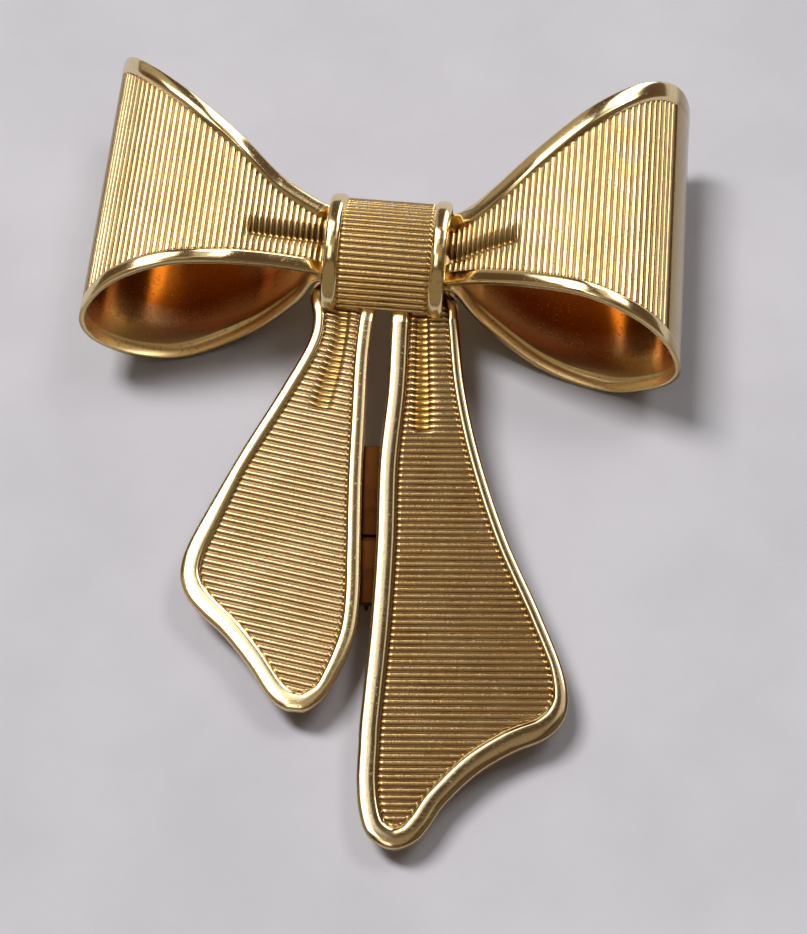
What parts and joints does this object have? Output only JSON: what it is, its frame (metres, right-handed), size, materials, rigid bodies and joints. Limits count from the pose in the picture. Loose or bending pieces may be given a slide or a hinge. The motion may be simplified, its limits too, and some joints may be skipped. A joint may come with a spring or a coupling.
{
  "type": "bow brooch",
  "caption": "Bow brooch of pressed gold-tone sheet with open ribbed loops, a ribbed knot band, two flared ribbed tails and a plain pin finding on its back.",
  "frame": {"origin": "middle of the bow's outline, on the surface that it lies on", "axes": "+X to the right and +Y towards the top of the bow, as it is worn and seen from the front; +Z out of its front, up from the surface that it lies on"},
  "size_m": [0.0558, 0.075, 0.0162],
  "materials": {
    "gold_front": "polished gold tone, ribbed field and smooth rims",
    "gold_back": "dull gold tone"
  },
  "bodies": {
    "root": {"loop_left": "gold_front", "loop_right": "gold_front", "knot_band": "gold_front", "tail_short": "gold_front", "tail_long": "gold_front", "pin_finding": "gold_back"}
  },
  "joints": []
}
